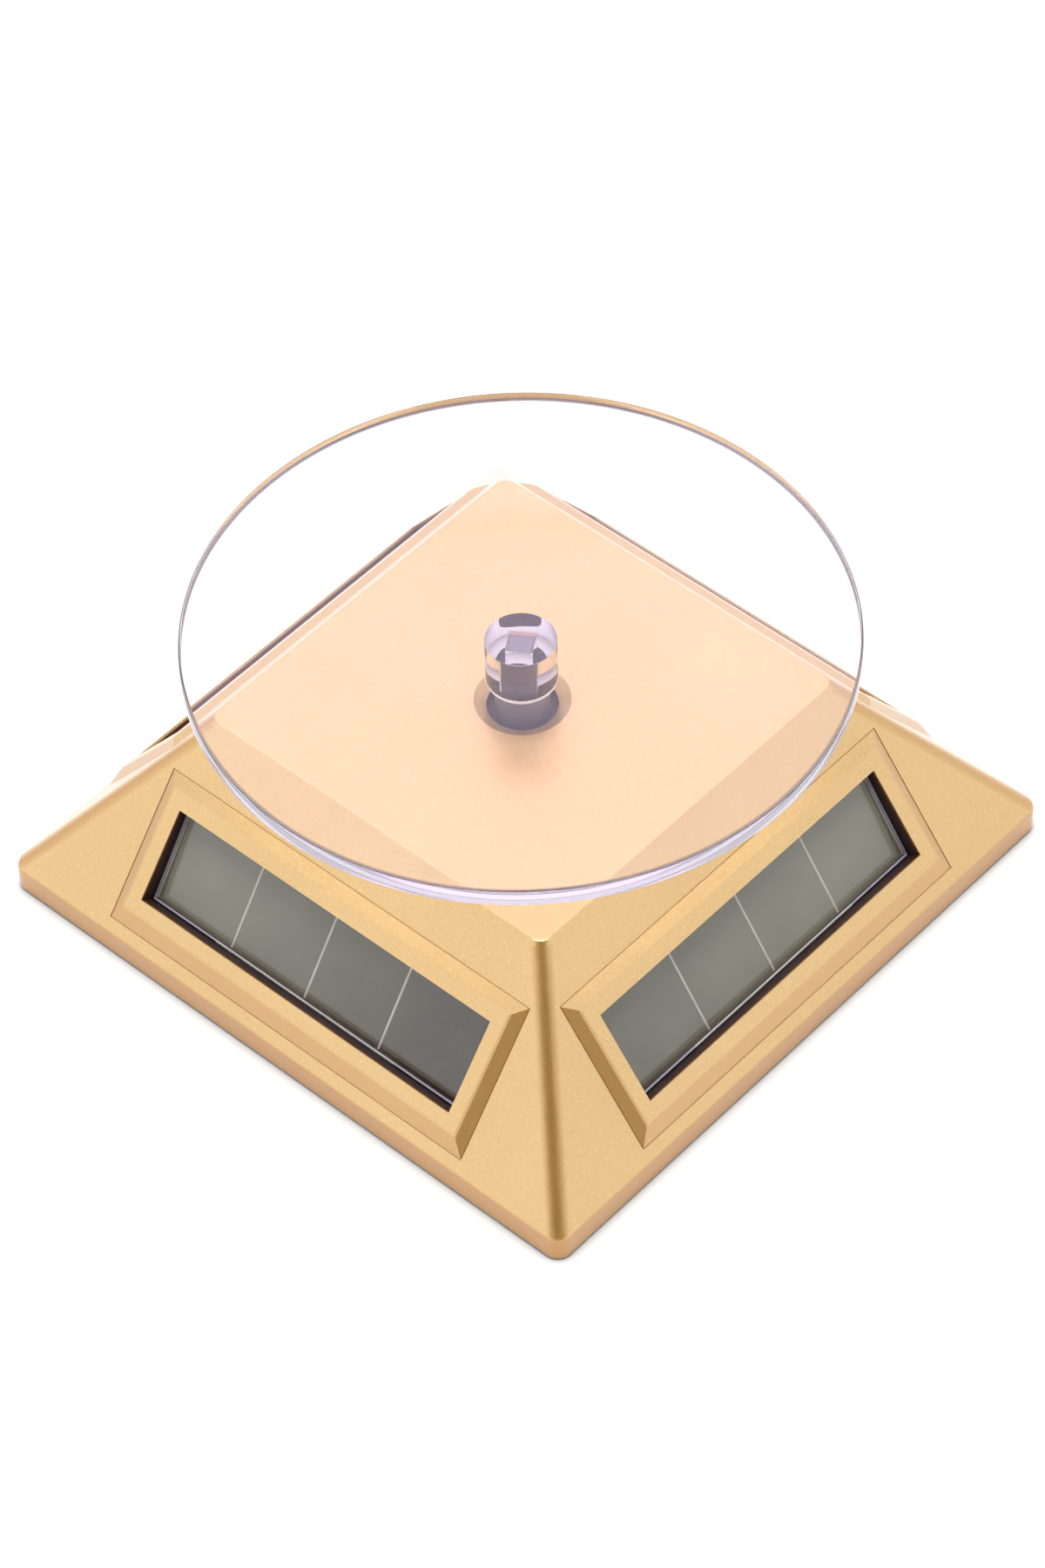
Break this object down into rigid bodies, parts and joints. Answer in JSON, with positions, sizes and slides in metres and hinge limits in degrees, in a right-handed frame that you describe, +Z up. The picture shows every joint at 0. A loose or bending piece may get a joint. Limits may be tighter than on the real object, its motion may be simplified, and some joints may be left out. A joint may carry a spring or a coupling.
{
  "type": "turntable display stand",
  "caption": "Square pyramid stand with a solar window in each slope and a battery bay underneath; a motor and gears turn a clear round disc on a centre post.",
  "frame": {"origin": "On the turntable's axis, level with the underside of the feet.", "axes": "+Z up along the turntable's axis; the square base has its sides along X and Y, with the battery bay towards -Y."},
  "size_m": [0.105, 0.105, 0.0469],
  "materials": {
    "gold_paint": "fine metallic paint on moulded ABS",
    "black_plastic": "moulded black ABS with a fine texture",
    "clear_acrylic": "polished clear acrylic",
    "solar_laminate": "thin-film solar cells under glass",
    "shaft_plastic": "dark grey-blue acetal",
    "gear_plastic": "natural white acetal",
    "frame_plastic": "dark moulded ABS",
    "steel": "bright steel",
    "plated_can": "zinc-plated drawn steel",
    "ferrite": "sintered ferrite",
    "copper": "enamelled copper and bronze",
    "spring_metal": "nickel-plated spring steel",
    "board": "green solder mask on fibreglass",
    "capacitor_sleeve": "shrunk plastic sleeve",
    "adhesive": "hot-melt adhesive",
    "foot_rubber": "soft rubber"
  },
  "bodies": {
    "base": {"upper_housing": "gold_paint", "bottom_cover": "black_plastic", "solar_panel_front": "solar_laminate", "solar_panel_right": "solar_laminate", "solar_panel_back": "solar_laminate", "solar_panel_left": "solar_laminate", "panel_adhesive": "adhesive", "gear_pins": "steel", "gear_frame_lower": "frame_plastic", "gear_frame_upper": "frame_plastic", "frame_screws": "steel", "mounting_screws": "steel", "motor_can": "plated_can", "motor_end_cap": "black_plastic", "motor_terminals": "copper", "motor_brushes": "copper", "motor_bushes": "copper", "motor_magnets": "ferrite", "motor_screws": "steel", "battery_contact_spring": "spring_metal", "battery_contact_plate": "spring_metal", "circuit_board": "board", "capacitor": "capacitor_sleeve", "diode": "frame_plastic", "cover_screws": "steel", "feet": "foot_rubber"},
    "drive": {"output_shaft": "shaft_plastic", "output_gear": "gear_plastic"},
    "turntable": {"turntable_disc": "clear_acrylic", "centre_post": "clear_acrylic"},
    "third_wheel": {"third_gear": "gear_plastic"},
    "second_wheel": {"second_gear": "gear_plastic"},
    "first_wheel": {"first_gear": "gear_plastic"},
    "rotor": {"motor_shaft": "steel", "motor_pinion": "gear_plastic", "rotor_core": "steel", "rotor_windings": "copper", "commutator": "copper"},
    "door": {"battery_door": "black_plastic"}
  },
  "joints": [
    {"name": "turntable_spin", "type": "hinge", "parent": "base", "child": "drive", "pos_m": [0, 0, 0.02], "axis": [0, 0, 1], "continuous": true},
    {"name": "third_gear_spin", "type": "hinge", "parent": "base", "child": "third_wheel", "pos_m": [0.01477, 0.0026, 0.02], "axis": [0, 0, 1], "continuous": true},
    {"name": "second_gear_spin", "type": "hinge", "parent": "base", "child": "second_wheel", "pos_m": [0.01651, 0.01245, 0.02], "axis": [0, 0, 1], "continuous": true},
    {"name": "first_gear_spin", "type": "hinge", "parent": "base", "child": "first_wheel", "pos_m": [0.00976, 0.01983, 0.02], "axis": [0, 0, 1], "continuous": true},
    {"name": "motor_spin", "type": "hinge", "parent": "base", "child": "rotor", "pos_m": [0, 0.022, 0.02], "axis": [0, 0, 1], "continuous": true},
    {"name": "turntable_lift", "type": "slide", "parent": "drive", "child": "turntable", "axis": [0, 0, 1], "range_m": [0, 0.012]},
    {"name": "battery_door_release", "type": "slide", "parent": "base", "child": "door", "axis": [0, 0, -1], "range_m": [0, 0.03]}
  ],
  "couplings": [
    {"joint": "third_gear_spin", "follows": "turntable_spin", "ratio": -4},
    {"joint": "second_gear_spin", "follows": "turntable_spin", "ratio": 16},
    {"joint": "first_gear_spin", "follows": "turntable_spin", "ratio": -64},
    {"joint": "motor_spin", "follows": "turntable_spin", "ratio": 256}
  ]
}
